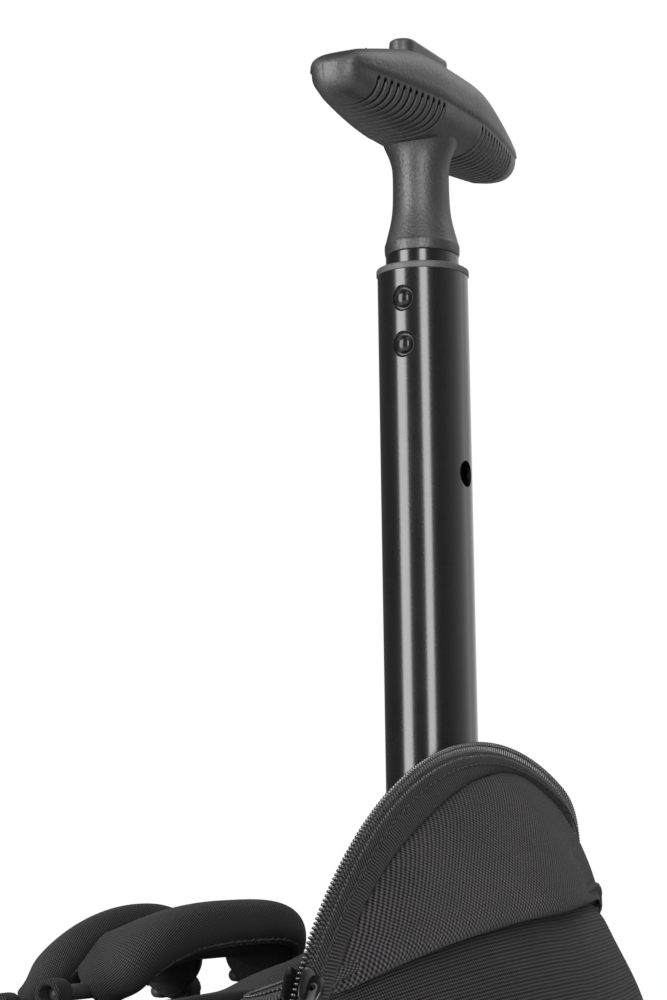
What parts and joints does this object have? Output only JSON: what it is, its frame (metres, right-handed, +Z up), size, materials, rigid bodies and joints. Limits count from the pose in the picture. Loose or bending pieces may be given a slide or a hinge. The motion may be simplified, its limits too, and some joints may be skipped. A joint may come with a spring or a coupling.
{
  "type": "rolling laptop case",
  "caption": "Black padded rolling laptop case with a telescopic single pole, ribbed T-grip, arched zip compartment, carry handles and rear wheels.",
  "frame": {"origin": "on the floor, at the middle of the case's width and depth", "axes": "+X across the case's width, -Y towards the front lid, +Y towards the pole and wheels, +Z up"},
  "size_m": [0.336, 0.2614, 0.727],
  "materials": {
    "body_fabric": "matte woven nylon",
    "ripstop_fabric": "fine ripstop weave",
    "pad_fabric": "coarse basket weave",
    "twill_tape": "herringbone twill",
    "handle_fabric": "twill weave",
    "lining": "brushed lining",
    "zip_coil": "semi-gloss nylon",
    "slider_enamel": "glossy black enamel",
    "pull_rubber": "matte",
    "tube_paint": "glossy black coat",
    "collar_plastic": "matte",
    "grip_plastic": "grained matte",
    "moulded_plastic": "matte",
    "tyre_rubber": "matte",
    "steel": "satin"
  },
  "bodies": {
    "case": {"main_shell": "body_fabric", "shell_zip_tape": "twill_tape", "laptop_divider": "lining", "laptop_strap": "twill_tape", "frame_board": "moulded_plastic", "rear_gusset": "body_fabric", "rear_panel": "ripstop_fabric", "rear_crescent_pad": "pad_fabric", "rear_zip_tape": "twill_tape", "rear_zip_coil": "zip_coil", "hood": "body_fabric", "hood_sides": "body_fabric", "hood_zip_tape": "twill_tape", "base_tray": "moulded_plastic", "wheel_housing_right": "moulded_plastic", "wheel_housing_left": "moulded_plastic", "wheel_axles": "steel", "front_feet": "moulded_plastic", "base_tube": "tube_paint", "base_tube_bushing": "collar_plastic", "base_tube_socket": "moulded_plastic", "base_tube_saddles": "moulded_plastic", "saddle_rivets": "steel", "handle_anchors": "twill_tape"},
    "lid": {"lid": "body_fabric", "front_pocket": "body_fabric", "lid_zip_tape": "twill_tape", "pocket_zip_tape": "twill_tape"},
    "wheel_right": {"wheel_right_tyre": "tyre_rubber", "wheel_right_hub": "moulded_plastic", "wheel_right_bearings": "steel"},
    "wheel_left": {"wheel_left_tyre": "tyre_rubber", "wheel_left_hub": "moulded_plastic", "wheel_left_bearings": "steel"},
    "pole_middle": {"mid_tube": "tube_paint", "mid_tube_collar": "collar_plastic", "mid_lock_plug": "moulded_plastic", "mid_bolt_spring": "steel"},
    "pole_middle_bolt": {"mid_lock_bolt": "steel"},
    "pole_inner": {"inner_tube": "tube_paint", "inner_lock_plug": "moulded_plastic", "grip_rear_shell": "grip_plastic", "grip_front_shell": "grip_plastic", "grip_screws": "steel", "button_spring": "steel"},
    "pole_inner_bolt": {"inner_lock_bolt": "steel"},
    "release_button": {"release_button": "grip_plastic"},
    "push_rod": {"push_rod": "steel"},
    "carry_handle_rear": {"carry_handle_rear": "handle_fabric"},
    "carry_handle_front": {"carry_handle_front": "handle_fabric"},
    "rear_slider_right": {"rear_zip_slider_right": "slider_enamel"},
    "rear_pull_right": {"rear_zip_pull_right": "pull_rubber"},
    "rear_slider_left": {"rear_zip_slider_left": "slider_enamel"},
    "rear_pull_left": {"rear_zip_pull_left": "pull_rubber"},
    "main_slider": {"main_zip_slider": "slider_enamel"},
    "main_pull": {"main_zip_pull": "pull_rubber"},
    "pocket_slider": {"pocket_zip_slider": "slider_enamel"},
    "pocket_pull": {"pocket_zip_pull": "pull_rubber"}
  },
  "joints": [
    {"name": "lid_hinge", "type": "hinge", "parent": "case", "child": "lid", "pos_m": [0, -0.1077, 0.062], "axis": [1, 0, 0], "range_deg": [0, 80]},
    {"name": "wheel_right_spin", "type": "hinge", "parent": "case", "child": "wheel_right", "pos_m": [0.143, 0.0947, 0.036], "axis": [1, 0, 0], "continuous": true},
    {"name": "wheel_left_spin", "type": "hinge", "parent": "case", "child": "wheel_left", "pos_m": [-0.143, 0.0947, 0.036], "axis": [1, 0, 0], "continuous": true},
    {"name": "pole_middle_slide", "type": "slide", "parent": "case", "child": "pole_middle", "axis": [0, 0, 1], "range_m": [-0.258, 0.006]},
    {"name": "pole_inner_slide", "type": "slide", "parent": "pole_middle", "child": "pole_inner", "axis": [0, 0, 1], "range_m": [0, 0.1955]},
    {"name": "button_press", "type": "slide", "parent": "pole_inner", "child": "release_button", "axis": [0, 0, -1], "range_m": [0, 0.0035], "stiffness_N_per_m": 600, "springref_m": -0.006, "deforming": ["button_spring"]},
    {"name": "push_rod_travel", "type": "slide", "parent": "pole_inner", "child": "push_rod", "axis": [0, 0, -1], "range_m": [0, 0.0035]},
    {"name": "inner_bolt_travel", "type": "slide", "parent": "pole_inner", "child": "pole_inner_bolt", "axis": [0, -1, 0], "range_m": [0, 0.0035]},
    {"name": "middle_bolt_travel", "type": "slide", "parent": "pole_middle", "child": "pole_middle_bolt", "axis": [0, -1, 0], "range_m": [0, 0.0035], "deforming": ["mid_bolt_spring"]},
    {"name": "carry_handle_rear_swing", "type": "hinge", "parent": "case", "child": "carry_handle_rear", "pos_m": [0, -0.0583, 0.3841], "axis": [1, 0, 0], "range_deg": [-6, 55]},
    {"name": "carry_handle_front_swing", "type": "hinge", "parent": "case", "child": "carry_handle_front", "pos_m": [0, -0.0893, 0.3779], "axis": [1, 0, 0], "range_deg": [-6, 95]},
    {"name": "rear_slider_right_travel", "type": "hinge", "parent": "case", "child": "rear_slider_right", "pos_m": [0, 0.0727, 0.301], "axis": [0, 1, 0], "range_deg": [-54, 12]},
    {"name": "rear_pull_right_flap", "type": "hinge", "parent": "rear_slider_right", "child": "rear_pull_right", "pos_m": [0.13838, 0.0787, 0.39087], "axis": [0.8387, 0, 0.5446], "range_deg": [0, 150]},
    {"name": "rear_slider_left_travel", "type": "hinge", "parent": "case", "child": "rear_slider_left", "pos_m": [0, 0.0727, 0.301], "axis": [0, -1, 0], "range_deg": [-63, 3]},
    {"name": "rear_pull_left_flap", "type": "hinge", "parent": "rear_slider_left", "child": "rear_pull_left", "pos_m": [-0.15074, 0.0787, 0.36811], "axis": [0.9135, 0, -0.4067], "range_deg": [0, 150]},
    {"name": "main_slider_travel", "type": "slide", "parent": "case", "child": "main_slider", "axis": [-1, 0, 0], "range_m": [-0.006, 0.19]},
    {"name": "main_pull_flap", "type": "hinge", "parent": "main_slider", "child": "main_pull", "pos_m": [0.099, -0.1045, 0.3693], "axis": [0, 1, 0], "range_deg": [0, 150]},
    {"name": "pocket_slider_travel", "type": "slide", "parent": "lid", "child": "pocket_slider", "axis": [-1, 0, 0], "range_m": [-0.012, 0.19]},
    {"name": "pocket_pull_flap", "type": "hinge", "parent": "pocket_slider", "child": "pocket_pull", "pos_m": [0.1, -0.1278, 0.261], "axis": [-1, 0, 0], "range_deg": [0, 100]}
  ],
  "couplings": [
    {"joint": "push_rod_travel", "follows": "button_press", "ratio": 1},
    {"joint": "inner_bolt_travel", "follows": "button_press", "ratio": 1},
    {"joint": "middle_bolt_travel", "follows": "button_press", "ratio": 1}
  ]
}
